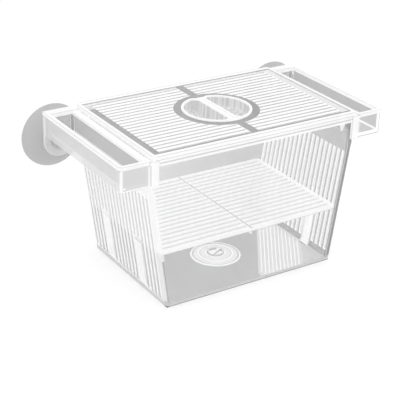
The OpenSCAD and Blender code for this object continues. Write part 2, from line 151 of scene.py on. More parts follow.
class PlasticSettings(bpy.types.PropertyGroup):
    """The clear moulded plastic, and the colours of its painted shade and painted light."""

    ior: bpy.props.FloatProperty(
        name="IOR", description="Index of refraction of the plastic's gloss", default=1.5,
        min=1.0, max=3.0)
    roughness: bpy.props.FloatProperty(
        name="Roughness", description="Roughness of the moulded faces", default=0.12,
        min=0.0, max=1.0)
    edge_round: bpy.props.FloatProperty(
        name="Edge rounding", description="Width of the small rounding of the moulded edges",
        default=0.00028, unit="LENGTH")
    scratch: bpy.props.FloatProperty(
        name="Scratches", description="How much the fine scratches show", default=0.25,
        min=0.0, max=1.0)
    # shade is the colour of painted shade, and light the colour of painted light and highlights
    shade: bpy.props.FloatVectorProperty(
        name="Shade", description="Colour of the plain faces, where the plastic looks grey", size=3,
        subtype="COLOR", default=(0.17, 0.17, 0.174), min=0.0, max=1.0)
    light: bpy.props.FloatVectorProperty(
        name="Light", description="Colour of the faces and edges that catch the light", size=3,
        subtype="COLOR", default=(0.93, 0.93, 0.93), min=0.0, max=1.0)

    def grey(self, alpha, slant=0.0):
        """The look of a face in painted shade."""
        return {"colour": tuple(self.shade), "alpha": alpha, "slant": slant}

    def white(self, alpha, slant=0.0):
        """The look of a face in painted light: a painted highlight where it catches the light."""
        return {"colour": tuple(self.light), "alpha": alpha, "slant": slant}

    def tone(self, level, alpha=0.85, slant=0.0):
        """The look of a face of one even painted grey, with a trace of blue, for the light and
        shade of its zone.
        """
        blue_share = 1.01
        return {"colour": (level, level, blue_share * level), "alpha": alpha, "slant": slant}


class CupSettings(bpy.types.PropertyGroup):
    """The suction cups."""

    colour: bpy.props.FloatVectorProperty(
        name="Colour", description="Colour of the soft plastic", size=3, subtype="COLOR",
        default=(0.46, 0.46, 0.465), min=0.0, max=1.0)
    alpha: bpy.props.FloatProperty(
        name="Density", description="How much the soft plastic covers what is behind it",
        default=0.93, min=0.0, max=1.0)
    steps: bpy.props.IntProperty(
        name="Steps", description="Number of faces round a cup", default=96, min=24, max=256)
    radius: bpy.props.FloatProperty(
        name="Radius", description="Radius of the cup's rim", default=0.022, unit="LENGTH")
    height: bpy.props.FloatProperty(
        name="Height", description="Distance from the wing's plate to the plane of the rim",
        default=0.010, unit="LENGTH")
    lip: bpy.props.FloatProperty(
        name="Lip", description="Width and thickness of the flat lip", default=0.0009,
        unit="LENGTH")
    wall: bpy.props.FloatProperty(
        name="Wall", description="Thickness of the dish near the neck", default=0.0026,
        unit="LENGTH")
    root: bpy.props.FloatProperty(
        name="Root", description="Radius at which the dish starts to flare", default=0.0066,
        unit="LENGTH")
    shoulder: bpy.props.FloatProperty(
        name="Shoulder", description="Height at which the dish starts to flare",
        default=0.0008, unit="LENGTH")
    neck: bpy.props.FloatProperty(
        name="Neck", description="Radius of the neck", default=0.0032, unit="LENGTH")
    head: bpy.props.FloatProperty(
        name="Head", description="Radius of the button head", default=0.0054, unit="LENGTH")


# ---------------------------------------------------------------- shader building

def pick(sockets, name, kind):
    """The socket with this name and type. A Mix node has one of each type under the same name."""
    return next(s for s in sockets if s.name == name and s.type == kind)


class Graph:
    """Short names for building one node tree."""

    def __init__(self, tree):
        self.tree = tree

    def node(self, kind, **values):
        """A new node with these properties."""
        made = self.tree.nodes.new(kind)
        for key, value in values.items():
            setattr(made, key, value)
        return made

    def wire(self, value, socket):
        """Sets a socket to a number, a colour or a vector, or links it. None leaves it alone."""
        if isinstance(value, bpy.types.NodeSocket):
            self.tree.links.new(value, socket)
        elif value is not None:
            socket.default_value = (*value[:3], 1.0) if socket.type == "RGBA" else value

    def math(self, operation, a, b=None, c=None, clamp=False):
        """The result of a Math node."""
        made = self.node("ShaderNodeMath", operation=operation, use_clamp=clamp)
        for socket, value in zip(made.inputs, (a, b, c)):
            self.wire(value, socket)
        return made.outputs[0]

    def length(self, a, b):
        """The distance to a point that is a and b away along two axes."""
        squares = [self.math("MULTIPLY", side, side) for side in (a, b)]
        return self.math("SQRT", self.math("ADD", *squares))

    def in_mm(self, vector):
        """The three coordinates of a place, in millimetres."""
        scaled = self.node("ShaderNodeVectorMath", operation="MULTIPLY")
        self.wire(vector, scaled.inputs[0])
        self.wire((1 / MM,) * 3, scaled.inputs[1])
        split = self.node("ShaderNodeSeparateXYZ")
        self.wire(scaled.outputs[0], split.inputs[0])
        return split.outputs

    def ramp(self, value, low, high, out_low=0.0, out_high=1.0):
        """Goes smoothly from out_low to out_high while value goes from low to high."""
        made = self.node("ShaderNodeMapRange", interpolation_type="SMOOTHSTEP")
        for socket, number in zip(made.inputs, (value, low, high, out_low, out_high)):
            self.wire(number, socket)
        return made.outputs[0]

    def within(self, value, low, high, soft):
        """1 where value lies from low to high, with soft edges."""
        if low <= -FAR_MM:
            return self.ramp(value, high - soft, high + soft, 1.0, 0.0)
        up = self.ramp(value, low - soft, low + soft)
        if high >= FAR_MM:
            return up
        return self.math("MULTIPLY", up, self.ramp(value, high - soft, high + soft, 1.0, 0.0))

    def mix(self, share, a, b, kind="FLOAT"):
        """a, with a share of b mixed in. kind is FLOAT or RGBA."""
        made = self.node("ShaderNodeMix", data_type=kind)
        socket_type = "VALUE" if kind == "FLOAT" else kind
        self.wire(share, made.inputs["Factor"])
        self.wire(a, pick(made.inputs, "A", socket_type))
        self.wire(b, pick(made.inputs, "B", socket_type))
        return pick(made.outputs, "Result", socket_type)

    def stretch(self, vector, scale, rotation=None):
        """The vector turned and scaled, which draws a noise out into lines."""
        made = self.node("ShaderNodeMapping")
        self.wire(vector, made.inputs["Vector"])
        self.wire(scale, made.inputs["Scale"])
        self.wire(rotation, made.inputs["Rotation"])
        return made.outputs[0]

    def noise(self, vector, scale, detail=None):
        """Soft random variation from 0 to 1."""
        made = self.node("ShaderNodeTexNoise")
        self.wire(vector, made.inputs["Vector"])
        self.wire(scale, made.inputs["Scale"])
        self.wire(detail, made.inputs["Detail"])
        return made.outputs[0]

    def bump(self, height, strength, distance):
        """The surface's normal, made uneven by a height."""
        made = self.node("ShaderNodeBump")
        self.wire(height, made.inputs["Height"])
        self.wire(strength, made.inputs["Strength"])
        self.wire(distance, made.inputs["Distance"])
        return made.outputs[0]


def new_group(name, inputs, outputs):
    """A new shader node group: its graph, its input sockets and its output sockets.

    Each input is a name, a socket type and a default, and each output a name and a socket type."""
    tree = bpy.data.node_groups.new(name, "ShaderNodeTree")
    for label, kind, default in inputs:
        socket = tree.interface.new_socket(name=label, in_out="INPUT", socket_type=kind)
        if default is not None:
            socket.default_value = default
    for label, kind in outputs:
        tree.interface.new_socket(name=label, in_out="OUTPUT", socket_type=kind)
    graph = Graph(tree)
    return graph, graph.node("NodeGroupInput").outputs, graph.node("NodeGroupOutput").inputs


def moulding_group():
    """What moulded plastic has all over: flow haze, fine scratches and a slightly uneven face."""
    name = "moulding marks"
    if name in bpy.data.node_groups:
        return bpy.data.node_groups[name]
    graph, given, put = new_group(
        name,
        [("Vector", "NodeSocketVector", None), ("Scratches", "NodeSocketFloat", 0.25)],
        [("Haze", "NodeSocketFloat"), ("Scratch", "NodeSocketFloat"),
         ("Streaks", "NodeSocketFloat"), ("Height", "NodeSocketFloat")])
    vector = given["Vector"]
    flow = graph.noise(vector, scale=38.0, detail=3.0)
    graph.wire(graph.ramp(flow, low=0.3, high=0.7), put["Haze"])
    lines = []
    for turn, scale in ((0.5, 900.0), (2.2, 700.0)):
        along = graph.stretch(vector, scale=(1.0, 0.03, 1.0), rotation=(turn, 0.4 * turn, turn))
        lines.append(graph.ramp(graph.noise(along, scale, detail=1.0), low=0.66, high=0.74))
    scratch = graph.math("MULTIPLY", graph.math("MAXIMUM", *lines), given["Scratches"])
    graph.wire(scratch, put["Scratch"])
    drawn = graph.noise(graph.stretch(vector, scale=(1.0, 1.0, 0.02)), scale=650.0, detail=1.0)
    graph.wire(graph.ramp(drawn, low=0.42, high=0.62), put["Streaks"])
    scratch_depth = 0.6
    cut = graph.math("MULTIPLY", scratch, scratch_depth)
    graph.wire(graph.math("SUBTRACT", graph.noise(vector, scale=160.0), cut), put["Height"])
    return graph.tree


def density_group():
    """How much a clear wall covers what is behind it: little seen square on, more at a slant."""
    name = "wall density"
    if name in bpy.data.node_groups:
        return bpy.data.node_groups[name]
    graph, given, put = new_group(
        name,
        [("Facing", "NodeSocketFloat", 0.0), ("Square on", "NodeSocketFloat", 0.1),
         ("Slant", "NodeSocketFloat", 0.3), ("Haze", "NodeSocketFloat", 0.0)],
        [("Alpha", "NodeSocketFloat")])
    slant_power, haze_share = 3.0, 0.03
    slanted = graph.math("POWER", given["Facing"], slant_power)
    body = graph.math("ADD", given["Square on"], graph.math("MULTIPLY", slanted, given["Slant"]))
    haze = graph.math("MULTIPLY", given["Haze"], haze_share)
    graph.wire(graph.math("ADD", body, haze, clamp=True), put["Alpha"])
    return graph.tree


def use_group(graph, tree, **values):
    """The outputs of a group whose inputs are wired by name, with _ for a space."""
    made = graph.node("ShaderNodeGroup", node_tree=tree)
    for key, value in values.items():
        graph.wire(value, made.inputs[key.replace("_", " ")])
    return made.outputs


# ---------------------------------------------------------------- zones of a piece

# A zone is a part of a piece with its own colour and density, most often painted light and shade.
# Its mask is the product of ranges of these facts about a point of the surface, with places and
# distances in millimetres:
#   x, y, z      its place
#   ax, ay       its distance from the middle planes
#   r            its distance from the Z axis, or from the upright axis through "centre"
#   deep         its depth in an end wall of the tank, from the outer face
#   slot         its distance from the middle of the nearest slot of an end wall
#   run          its place across the slanting painted reflection streaks of the tank's floor
#   glint        its distance from the middle of the nearest of these painted reflection streaks
#   nx, ny, nz   how far the face looks along an axis, from -1 to 1
#   ox, oy       how far it looks away from the middle planes
#   sx, sy       how far it looks along an axis, either way
# A fade changes a zone's alpha along one of these, and streaks lighten it in upright lines.

DIRECTION_FACTS = ("nx", "ny", "nz", "ox", "oy", "sx", "sy")
# Half the width of the soft edge of a range of directions, and of a range of millimetres
SOFT_TURN, SOFT_STEP = 0.12, 0.08


def above(limit):
    """The range from limit on."""
    return (limit, FAR_MM)


def below(limit):
    """The range up to limit."""
    return (-FAR_MM, limit)


def about(middle, play):
    """The range that reaches play to each side of middle."""
    return (middle - play, middle + play)


# Which way a face looks, and which half of the box it is in
OUTWARD = UPWARD = SIDEWAYS = above(0.5)
INWARD = FRONTWARD = below(-0.5)
LEFT_HALF, RIGHT_HALF = below(0.0), above(0.0)


def zone(look, centre=(0.0, 0.0), fade=None, streaks=0.0, **where):
    """A part of a piece with its own look, and where it lies: ranges of the facts above."""
    return {**look, "centre": centre, "fade": fade, "streaks": streaks, "where": where}


def zone_mask(graph, read, area):
    """1 inside a zone and 0 outside it."""
    mask = None
    for key, limits in area["where"].items():
        value, soft = read(key, area["centre"])
        part = graph.within(value, *limits, soft)
        mask = part if mask is None else graph.math("MULTIPLY", mask, part)
    return mask


def fact_reader(graph, coords):
    """Returns a function that gives the named fact of a surface point, and its soft edge."""
    place = graph.in_mm(coords["Object"])
    split = graph.node("ShaderNodeSeparateXYZ")
    graph.wire(coords["Normal"], split.inputs[0])
    normal = split.outputs
    made = {}

    def value_of(key, centre):
        """Builds the nodes that give a fact."""
        axis = "xyz".find(key[-1])
        if key in ("x", "y", "z"):
            return place[axis]
        if key in ("ax", "ay"):
            return graph.math("ABSOLUTE", place[axis])
        if key in ("nx", "ny", "nz"):
            return normal[axis]
        if key in ("ox", "oy"):
            return graph.math("MULTIPLY", normal[axis], graph.math("SIGN", place[axis]))
        if key in ("sx", "sy"):
            return graph.math("ABSOLUTE", normal[axis])
        if key == "r":
            return graph.length(*[graph.math("SUBTRACT", place[i], centre[i]) for i in (0, 1)])
        if key == "slot":
            return graph.math("PINGPONG", place[1], TANK_SLOT_PITCH / 2)
        if key == "run":
            back = graph.math("MULTIPLY", place[0], REFLECTION_SLOPE)
            return graph.math("SUBTRACT", place[1], back)
        if key == "glint":
            return graph.math("PINGPONG", read("run", centre)[0], TANK_SLOT_PITCH / 2)
        if key == "deep":
            lean = (TANK_HALF_TOP - TANK_HALF_BOTTOM) / TANK_BEND
            height = graph.math("MINIMUM", place[2], TANK_BEND)
            outer_face = graph.math("MULTIPLY_ADD", height, lean, TANK_HALF_BOTTOM)
            return graph.math("SUBTRACT", outer_face, graph.math("ABSOLUTE", place[0]))
        raise KeyError(f"no fact is named {key}")

    def read(key, centre):
        """Gives a fact, which is built once, and its soft edge."""
        name = (key, centre) if key == "r" else key
        if name not in made:
            made[name] = value_of(key, centre)
        return made[name], SOFT_TURN if key in DIRECTION_FACTS else SOFT_STEP

    return read


def layered_look(graph, read, look, zones, streaks, light):
    """Colour, alpha and slant of the whole piece, with each zone laid over those before it."""
    colour, alpha, slant = look["colour"], look["alpha"], look["slant"]
    for area in zones:
        mask = zone_mask(graph, read, area)
        cover, tint = area["alpha"], area["colour"]
        if area["fade"]:
            key, low, high, far_alpha = area["fade"]
            cover = graph.ramp(read(key, area["centre"])[0], low, high, cover, far_alpha)
        if area["streaks"]:
            tint = graph.mix(graph.math("MULTIPLY", streaks, area["streaks"]), tint, light, "RGBA")
        colour = graph.mix(mask, colour, tint, "RGBA")
        alpha = graph.mix(mask, alpha, cover)
        slant = graph.mix(mask, slant, area["slant"])
    return colour, alpha, slant


def seen_share(graph):
    """How much of its density a face keeps: none from behind, and little for light that passes."""
    light_let_through = 0.85
    geometry = graph.node("ShaderNodeNewGeometry")
    front = graph.math("SUBTRACT", 1.0, geometry.outputs["Backfacing"])
    path = graph.node("ShaderNodeLightPath")
    light = graph.math("MAXIMUM", path.outputs["Is Shadow Ray"], path.outputs["Is Diffuse Ray"])
    kept = graph.math("SUBTRACT", 1.0, graph.math("MULTIPLY", light, light_let_through))
    return graph.math("MULTIPLY", front, kept)


def clear_material(name, settings, look, zones):
    """Clear plastic whose zones differ in colour, density and gloss, and paint its light and shade.

    look and each zone hold colour, alpha (seen square on) and slant (what a slanted view adds)."""
    material = bpy.data.materials.new(name)
    material.use_nodes = True
    graph = Graph(material.node_tree)
    shader = material.node_tree.nodes["Principled BSDF"]
    coords = graph.node("ShaderNodeTexCoord").outputs
    read = fact_reader(graph, coords)
    marks = use_group(graph, moulding_group(), Vector=coords["Object"], Scratches=settings.scratch)
    colour, alpha, slant = layered_look(
        graph, read, look, zones, marks["Streaks"], tuple(settings.light))
    weight = graph.node("ShaderNodeLayerWeight")
    weight.inputs["Blend"].default_value = 0.5
    cover = use_group(graph, density_group(), Facing=weight.outputs["Facing"], Square_on=alpha,
                      Slant=slant, Haze=marks["Haze"])["Alpha"]
    scratch_dulls = 0.3
    dull = graph.math("MULTIPLY", marks["Scratch"], scratch_dulls)
    shader.inputs["IOR"].default_value = settings.ior
    graph.wire(colour, shader.inputs["Base Color"])
    graph.wire(graph.math("MULTIPLY", cover, seen_share(graph)), shader.inputs["Alpha"])
    graph.wire(graph.math("ADD", settings.roughness, dull), shader.inputs["Roughness"])
    graph.wire(graph.bump(marks["Height"], strength=0.04, distance=0.0005), shader.inputs["Normal"])
    return material


def round_sharp_edges(piece, width, material=-1):
    """Rounds the sharp edges of a piece a little, in the material with this number."""
    bevel = piece.modifiers.new("rounded edges", "BEVEL")
    bevel.width = width
    bevel.segments = 2
    bevel.limit_method = "ANGLE"
    bevel.angle_limit = SHARP
    bevel.material = material


def finish_node(node, material, edges=None, width=None):
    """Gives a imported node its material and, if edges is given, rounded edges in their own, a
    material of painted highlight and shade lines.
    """
    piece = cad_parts[node]
    piece.data.materials.clear()
    piece.data.materials.append(material)
    if not edges:
        return
    piece.data.materials.append(edges)
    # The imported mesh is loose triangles, so they are welded and the flat ones joined first
    weld = piece.modifiers.new("weld", "WELD")
    weld.merge_threshold = 0.00001
    flat = piece.modifiers.new("flat faces", "DECIMATE")
    flat.decimate_type = "DISSOLVE"
    flat.angle_limit = math.radians(1.0)
    round_sharp_edges(piece, width, material=1)
    shading = piece.modifiers.new("even shading", "WEIGHTED_NORMAL")
    shading.keep_sharp = True


# ---------------------------------------------------------------- studio

def add_camera(scene, settings):
    """Places the camera on a line to the box's middle and turns it about that line."""
    az, el, roll = settings.azimuth, settings.elevation, settings.roll
    look = Vector((math.sin(az) * math.cos(el), math.cos(az) * math.cos(el), -math.sin(el)))
    right = Vector((math.cos(az), -math.sin(az), 0.0))
    up = right.cross(look)
    turned_right = math.cos(roll) * right + math.sin(roll) * up
    turned_up = math.cos(roll) * up - math.sin(roll) * right
    data = bpy.data.cameras.new("camera")
    data.lens = settings.lens
    data.sensor_width = 36.0
    data.shift_x, data.shift_y = settings.shift_x, settings.shift_y
    camera = bpy.data.objects.new("camera", data)
    scene.collection.objects.link(camera)
    turn = Matrix((turned_right, turned_up, -look)).transposed().to_4x4()
    place = Vector((0.0, 0.0, settings.target_height)) - look * settings.distance
    camera.matrix_world = Matrix.Translation(place) @ turn
    scene.camera = camera


def add_lights(scene, settings):
    """Even light from all round and two soft lamps that point at the box's middle."""
    white = (1.0, 1.0, 1.0, 1.0)
    lamps_aim = Vector((0.0, 0.0, 0.05))
    world = bpy.data.worlds.new("studio air")
    world.use_nodes = True
    world.node_tree.nodes["Background"].inputs["Color"].default_value = white
    world.node_tree.nodes["Background"].inputs["Strength"].default_value = settings.sky
    scene.world = world
    for name, power, size, spot in (
            ("key light", settings.key_power, 0.8, (-0.35, -0.25, 0.9)),
            ("fill light", settings.fill_power, 0.6, (0.8, -0.3, 0.5))):
        light = bpy.data.lights.new(name, "AREA")
        light.energy = power
        light.size = size
        lamp = bpy.data.objects.new(name, light)
        lamp.location = spot
        lamp.rotation_euler = (lamps_aim - lamp.location).to_track_quat("-Z", "Y").to_euler()
        scene.collection.objects.link(lamp)


def paper_material(colour):
    """Matt paper with a very faint grain."""
    grain_dark = 0.99
    paper = bpy.data.materials.new("floor paper")
    paper.use_nodes = True
    graph = Graph(paper.node_tree)
    shader = paper.node_tree.nodes["Principled BSDF"]
    coords = graph.node("ShaderNodeTexCoord").outputs
    grain = graph.noise(coords["Object"], scale=300.0)
    dark = tuple(c * grain_dark for c in colour)
    graph.wire(graph.mix(grain, dark, tuple(colour), "RGBA"), shader.inputs["Base Color"])
    shader.inputs["Roughness"].default_value = 0.9
    shader.inputs["Specular IOR Level"].default_value = 0.0
    return paper


def add_floor(scene, settings):
    """A pale floor just under the box."""
    half_width, drop = 4.0, 0.0003
    mesh = bpy.data.meshes.new("floor")
    shape = bmesh.new()
    bmesh.ops.create_grid(shape, x_segments=2, y_segments=2, size=half_width)
    shape.to_mesh(mesh)
    shape.free()
    floor = bpy.data.objects.new("floor", mesh)
    floor.location = (0.0, 0.0, -drop)
    scene.collection.objects.link(floor)
    mesh.materials.append(paper_material(settings.floor_colour))


class BREEDBOX_OT_studio(bpy.types.Operator):
    """Make the camera, the soft lights and the pale floor"""

    bl_idname = "breedbox.studio"
    bl_label = "Studio"

    def execute(self, context):
        scene = context.scene
        settings = scene.breedbox_studio
        add_camera(scene, settings)
        add_lights(scene, settings)
        add_floor(scene, settings)
        scene.view_settings.view_transform = "Standard"
        # Many clear walls lie behind each other
        scene.cycles.transparent_max_bounces = 64
        scene.cycles.max_bounces = 16
        return {"FINISHED"}


# ---------------------------------------------------------------- clear pieces

class BREEDBOX_OT_tank(bpy.types.Operator):
    """Give the tank its clear plastic"""

    bl_idname = "breedbox.tank"
    bl_label = "Tank"

    def execute(self, context):
        settings = context.scene.breedbox_plastic
        white, tone, grey = settings.white, settings.tone, settings.grey
        ends, left_end, right_end = above(END_WALLS_X), below(-END_WALLS_X), above(END_WALLS_X)
        across_depth = ("y", -45.0, 45.0)
        slot_half = 1.45
        slot_sides = {"sy": SIDEWAYS, "ay": below(TANK_SLOTS_Y)}
        wall_outer_half, wall_inner_half = (-WALL / 2, WALL / 2), (WALL / 2, 1.5 * WALL)
        corner_line = TRAY_LOW[2] - 1.0
        front = {"oy": OUTWARD, "y": below(-40.0)}
        flat_front = {"oy": above(0.9), "y": below(0.5 - TANK_HALF_DEPTH)}
        front_edge = below(3.5 - TANK_HALF_DEPTH)
        whole_corner, most_corner, end_of_corner = (0.1, 0.93), (0.35, 0.93), (0.7, 0.93)
        band_top, end_band_top = 4.6, SLOTS_LOW - 0.7
        shade_line_top, end_shade_line_top = 2.4, 2.2
        floor = {"z": about(FLOOR_TOP, 0.3), "nz": UPWARD}
        # The painted reflection of the slots on the floor: its paler ground and where its streaks
        # lie
        reflection_ground, streaks = {"x": (10.0, 66.0)}, {"x": (14.0, 62.0), "run": (-110.0, -59.0)}
        reflection_half = 0.75
        ribs = (RIB_INNER, RIB_OUTER)
        zones = [
            # Outer faces of the end walls in painted light, lighter where a support rib stands
            # behind them
            zone(white(0.5, 0.2), ax=ends, ox=OUTWARD),
            zone(white(0.85), ax=ends, ox=OUTWARD, ay=ribs, z=(SLOTS_LOW, RIB_TOP)),
            # Inner faces of the end walls: painted shade, with painted highlights round the slots
            zone(grey(0.58), ax=ends, ox=INWARD, fade=(*across_depth, 0.48)),
            zone(white(0.8), ax=ends, ox=INWARD, z=(SLOTS_LOW, SLOTS_HIGH),
                 ay=below(TANK_SLOTS_Y), slot=below(slot_half)),
            zone(grey(0.57), ax=ends, ox=INWARD, z=above(SLOTS_HIGH), fade=(*across_depth, 0.44)),
            zone(grey(0.64), ax=ends, ox=INWARD, z=below(SLOTS_LOW)),
            # Side faces of the slots: painted shade outside, more so below the tray, and painted
            # light inside
            zone(grey(0.28), ax=ends, deep=wall_outer_half, **slot_sides),
            zone(tone(0.66, 0.92), x=left_end, deep=wall_outer_half, z=above(TRAY_UNDERSIDE),
                 **slot_sides),
            zone(tone(0.56, 0.9), x=left_end, deep=wall_outer_half, z=below(TRAY_UNDERSIDE),
                 **slot_sides),
            zone(white(0.85), ax=ends, deep=wall_inner_half, **slot_sides),
            # Inner faces of the front and back walls in painted shade, darker towards the
            # right-hand end
            zone(grey(0.30), oy=INWARD, ay=about(TANK_HALF_DEPTH - WALL, 0.6),
                 fade=("x", -END_WALLS_X, END_WALLS_X, 0.48)),
            # Upright corners and the strips of the front wall beside them: a painted highlight on
            # the left-hand corner, and painted shade on the right-hand one and on both strips
            zone(grey(0.22), x=left_end, deep=(WALL, WALL + 0.8), **front),
            zone(white(0.6), ox=most_corner, oy=above(0.2), x=LEFT_HALF, z=above(corner_line)),
            zone(white(0.6), ox=end_of_corner, oy=above(0.2), x=LEFT_HALF, z=below(corner_line)),
            zone(grey(0.17), x=right_end, deep=(WALL, 7.4), **flat_front),
            zone(tone(0.26, 0.88), x=right_end, deep=(WALL, 5.4), **flat_front),
            zone(tone(0.2, 0.92), ox=whole_corner, oy=above(0.2), x=RIGHT_HALF),
            # Painted shade: bands below the slots and along the front, the dark lines under them
            # and a line where the end walls' inner faces meet the floor
            zone(tone(0.5), ax=ends, ox=above(0.1), z=below(end_band_top)),
            zone(tone(0.5), z=below(band_top), y=front_edge, ax=below(64.0)),
            zone(tone(0.16), z=below(end_shade_line_top), ox=above(0.1), x=LEFT_HALF),
            zone(tone(0.16), z=below(shade_line_top), y=front_edge, ax=below(TANK_HALF_BOTTOM)),
            zone(grey(0.66), z=(FLOOR_TOP - 0.3, FLOOR_TOP + 0.7), ox=below(-0.2), ax=ends),
            # Floor, with a painted reflection of the slots towards the right-hand end: light
            # streaks on a paler ground
            zone(tone(0.45, 0.9), **floor),
            zone(tone(0.55, 0.9), run=below(-57.0), **reflection_ground, **floor),
            zone(tone(0.66, 0.9), run=(-113.0, -57.0), **reflection_ground, **floor),
            zone(white(0.55), glint=below(reflection_half), **streaks, **floor),
            # Support ribs in painted light
            zone(white(0.5, 0.1), ay=ribs, ax=(END_WALLS_X, 71.0), z=(3.0, RIB_TOP + 0.1),
                 ox=INWARD),
            # Flanges at the top in painted light
            zone(white(0.85), ax=above(TANK_HALF_TOP + 0.1), z=above(FLANGE_LOW)),
        ]
        # Elsewhere almost clear, with faint painted light where the tank is seen at a slant
        material = clear_material("tank plastic", settings, white(0.03, 0.3), zones)
        finish_node("tank_body", material)
        return {"FINISHED"}


class BREEDBOX_OT_lid(bpy.types.Operator):
    """Give the grille lid its clear plastic"""

    bl_idname = "breedbox.lid"
    bl_label = "Lid"

    def execute(self, context):
        settings = context.scene.breedbox_plastic
        white, tone = settings.white, settings.tone
        plate = {"z": about(LID_PLATE, 0.1), "nz": UPWARD}
        under_plate, over_plate = (LID_LOW[2] - 1.0, LID_PLATE - 0.05), above(LID_PLATE + 0.05)
        left_strip = (-LID_BORDER_X, -LID_SLOT_END)
        pale_from = 38.0
        rim, rim_top = above(LID_RIM - 0.4), above(LID_RIM - 0.2)
        lip_x, lip_y, skirts_y = 77.3, 50.6, 50.8
        zones = [
            # Side faces of the slots and of the border in painted shade
            zone(tone(0.60, 0.85), z=under_plate, ax=(LID_BAND, LID_SLOT_END + 1.0), sy=SIDEWAYS,
                 ay=below(LID_SLOTS_Y + 0.5)),
            zone(tone(0.42), z=over_plate, ax=below(LID_BORDER_X + 0.2),
                 ay=(LID_BORDER_Y - 0.2, LID_BORDER_Y + 0.6)),
            zone(tone(0.42), z=over_plate, sx=SIDEWAYS, ax=(LID_SLOT_END, LID_BORDER_X + 0.2)),
            # Plain strips at the left-hand and right-hand end, at the front and at the back:
            # painted shade, paler towards the back of the left-hand strip and along the back, and
            # painted light on the right-hand strip
            zone(tone(0.27), x=left_strip, y=(-LID_BORDER_Y, pale_from), **plate),
            zone(tone(0.6), x=left_strip, y=(pale_from, LID_BORDER_Y), **plate),
            zone(tone(0.76), x=(LID_SLOT_END, LID_BORDER_X), **plate),
            zone(tone(0.27), y=(-LID_BORDER_Y, -LID_SLOTS_Y), **plate),
            zone(tone(0.78), y=(LID_SLOTS_Y, LID_BORDER_Y), **plate),
            # Ring round the finger wells, and the band across the middle, in painted shade
            zone(tone(0.26), r=(WELL_R, RING_R), **plate),
            zone(tone(0.27), ax=below(LID_BAND), ay=(RING_R - 2.0, LID_BORDER_Y), **plate),
            # Border in painted light, with painted shade lines along its outer edge and along the
            # skirts
            zone(tone(0.84), z=rim_top, nz=UPWARD, ax=(LID_BORDER_X + 0.6, lip_x)),
            zone(tone(0.62), z=rim, nz=UPWARD, ay=above(lip_y)),
            zone(tone(0.62), z=rim, nz=UPWARD, ax=above(lip_x)),
            zone(tone(0.62), z=(104.6, 105.3), ay=above(skirts_y)),
            zone(tone(0.62), z=(106.9, 107.4), ay=above(skirts_y)),
            # Finger wells in painted shade, with streaks
            zone(tone(0.56, 0.8), z=under_plate, r=below(WELL_R - 0.2), nz=above(-0.2),
                 streaks=0.5),
        ]
        # The slats and the rest of the lid in painted light
        material = clear_material("lid plastic", settings, white(0.88, 0.1), zones)
        # Rounded edges: painted shade lines, with painted highlights round the finger wells
        edges = clear_material("lid edges", settings, tone(0.62, 0.9), [
            zone(white(0.9), r=below(RING_R - 2.0)),
        ])
        finish_node("lid", material, edges, settings.edge_round)
        return {"FINISHED"}


class BREEDBOX_OT_tray(bpy.types.Operator):
    """Give the slotted tray its clear plastic"""

    bl_idname = "breedbox.tray"
    bl_label = "Tray"

    def execute(self, context):
        settings = context.scene.breedbox_plastic
        white, tone = settings.white, settings.tone
        zones = [
            # Painted shade on the side faces of the slots and along the long edges, and a darker
            # line along the middle
            zone(tone(0.76, 0.9), z=(TRAY_LOW[2] - 1.0, TRAY_TOP - 0.05), sy=SIDEWAYS,
                 ay=below(TRAY_SLOTS_Y)),
            zone(tone(0.55), ax=below(0.5), nz=UPWARD),
            zone(tone(0.5), ay=above(TRAY_SLOTS_Y), sy=SIDEWAYS, z=below(TRAY_TOP - 1.6)),
        ]
        # The slats in painted light, and painted highlights on the rounded edges
        material = clear_material("tray plastic", settings, white(0.9, 0.1), zones)
        edges = clear_material("tray edges", settings, white(0.85, 0.1), [])
        finish_node("slotted_tray", material, edges, settings.edge_round)
        return {"FINISHED"}


class BREEDBOX_OT_plug(bpy.types.Operator):
    """Give the floor plug its clear plastic"""

    bl_idname = "breedbox.plug"
    bl_label = "Floor plug"

    def execute(self, context):
        settings = context.scene.breedbox_plastic
        white, tone = settings.white, settings.tone
        centre = ((PLUG_LOW[0] + PLUG_HIGH[0]) / 2, (PLUG_LOW[1] + PLUG_HIGH[1]) / 2)
        radius = (PLUG_HIGH[0] - PLUG_LOW[0]) / 2
        bead, seat, knob = radius - 1.0, 11.3, 7.0
        zones = [
            # Bead round the disc in painted light, and the painted shade line inside it
            zone(white(0.9), centre=centre, r=above(bead)),
            zone(tone(0.5, 0.85), centre=centre, r=(bead - 1.0, bead)),
            # Ring over the neck in painted light, and the painted shade line inside it
            zone(white(0.8), centre=centre, r=(seat, seat + 1.0)),
            zone(tone(0.62, 0.8), centre=centre, r=(seat - 0.9, seat)),
            # Knob: its top in painted light, the wall of its hollow and its side in painted shade
            zone(white(0.9), centre=centre, r=below(knob)),
            zone(tone(0.42), centre=centre, r=(5.4, 6.1), nz=above(0.3)),
            zone(tone(0.45), centre=centre, r=below(knob + 0.5), nz=(-0.3, 0.3)),
        ]
        material = clear_material("plug plastic", settings, tone(0.78, 0.7), zones)
        finish_node("floor_plug", material)
        return {"FINISHED"}


